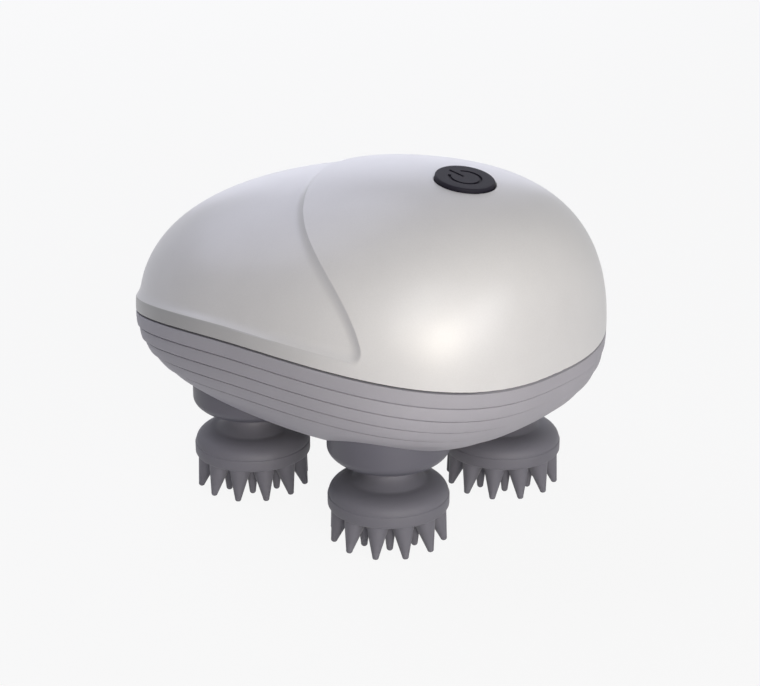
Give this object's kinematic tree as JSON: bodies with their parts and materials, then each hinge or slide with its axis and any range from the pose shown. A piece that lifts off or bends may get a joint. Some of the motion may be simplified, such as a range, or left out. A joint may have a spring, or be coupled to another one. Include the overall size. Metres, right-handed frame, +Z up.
{
  "type": "electric scalp massager",
  "caption": "Egg-shaped handheld scalp massager with a push button on top and turning silicone heads with soft teeth underneath.",
  "frame": {"origin": "on the floor under the middle of the body, where the tips of the teeth stand", "axes": "+Z up, +X towards the wide end that carries the button, +Y to the left seen from the narrow end; row_from_source is the identity apart from mm to m"},
  "size_m": [0.132, 0.101, 0.0911],
  "materials": {
    "pearl_shell": "satin pearl",
    "grey_shell": "satin",
    "gasket_rubber": "matte",
    "button_rubber": "satin",
    "head_silicone": "matte",
    "collar_plastic": "satin",
    "steel": "turned",
    "gear_plastic": "moulded",
    "bronze": "sintered",
    "frame_plastic": "moulded",
    "can_steel": "plated",
    "black_plastic": "moulded",
    "board_green": "lacquered",
    "cell_wrap": "shrink wrap",
    "gold": "plated",
    "nickel": "plated"
  },
  "bodies": {
    "casing": {"top_shell": "pearl_shell", "bottom_shell": "grey_shell", "seam_gasket": "gasket_rubber", "shaft_seals": "gasket_rubber", "collar_front_right": "collar_plastic", "collar_front_left": "collar_plastic", "collar_rear_right": "collar_plastic", "collar_rear_left": "collar_plastic", "sun_axle": "steel", "idler_axle": "steel", "motor_screws": "steel", "gearbox_screws": "steel", "bracket_screws": "steel", "board_screws": "steel", "button_board_screws": "steel", "casing_screws": "steel", "lower_bushes": "bronze", "upper_bushes": "bronze", "gearbox_base": "frame_plastic", "gearbox_cover": "frame_plastic", "motor_bracket": "frame_plastic", "motor_can": "can_steel", "motor_end_cap": "black_plastic", "cell_holder": "black_plastic", "charging_seat": "black_plastic", "tact_switch": "black_plastic", "board_parts": "black_plastic", "main_board": "board_green", "button_board": "board_green", "cell": "cell_wrap", "charging_contacts": "gold", "charging_magnets": "nickel"},
    "head_front_right": {"massage_head_front_right": "head_silicone", "shaft_front_right": "steel", "gear_front_right": "gear_plastic"},
    "head_front_left": {"massage_head_front_left": "head_silicone", "shaft_front_left": "steel", "gear_front_left": "gear_plastic"},
    "head_rear_right": {"massage_head_rear_right": "head_silicone", "shaft_rear_right": "steel", "gear_rear_right": "gear_plastic"},
    "head_rear_left": {"massage_head_rear_left": "head_silicone", "shaft_rear_left": "steel", "gear_rear_left": "gear_plastic"},
    "sun": {"sun_gear": "gear_plastic"},
    "idler": {"idler_gear": "gear_plastic"},
    "rotor": {"motor_shaft": "steel", "motor_pinion": "bronze"},
    "button": {"power_button": "button_rubber", "switch_plunger": "black_plastic"}
  },
  "joints": [
    {"name": "spin_front_right", "type": "hinge", "parent": "casing", "child": "head_front_right", "pos_m": [0.0311, -0.02299, 0.0196], "axis": [0, 0, 1], "continuous": true},
    {"name": "spin_front_left", "type": "hinge", "parent": "casing", "child": "head_front_left", "pos_m": [0.0311, 0.02299, 0.0196], "axis": [0, 0, 1], "continuous": true},
    {"name": "spin_rear_right", "type": "hinge", "parent": "casing", "child": "head_rear_right", "pos_m": [-0.0179, -0.02299, 0.0196], "axis": [0, 0, 1], "continuous": true},
    {"name": "spin_rear_left", "type": "hinge", "parent": "casing", "child": "head_rear_left", "pos_m": [-0.0179, 0.02299, 0.0196], "axis": [0, 0, 1], "continuous": true},
    {"name": "sun_spin", "type": "hinge", "parent": "casing", "child": "sun", "pos_m": [0.0066, 0, 0.04], "axis": [0, 0, 1], "continuous": true},
    {"name": "idler_spin", "type": "hinge", "parent": "casing", "child": "idler", "pos_m": [0.0306, 0, 0.044], "axis": [0, 0, 1], "continuous": true},
    {"name": "motor_spin", "type": "hinge", "parent": "casing", "child": "rotor", "pos_m": [0.0126, 0, 0.048], "axis": [0, 0, 1], "continuous": true},
    {"name": "button_press", "type": "slide", "parent": "casing", "child": "button", "axis": [-0.1716, 0, -0.9852], "range_m": [0, 0.0004], "stiffness_N_per_m": 900}
  ],
  "couplings": [
    {"joint": "spin_front_left", "follows": "spin_front_right", "ratio": 1},
    {"joint": "spin_rear_right", "follows": "spin_front_right", "ratio": 1},
    {"joint": "spin_rear_left", "follows": "spin_front_right", "ratio": 1},
    {"joint": "sun_spin", "follows": "spin_front_right", "ratio": -0.75},
    {"joint": "idler_spin", "follows": "spin_front_right", "ratio": 3},
    {"joint": "motor_spin", "follows": "spin_front_right", "ratio": -15}
  ]
}
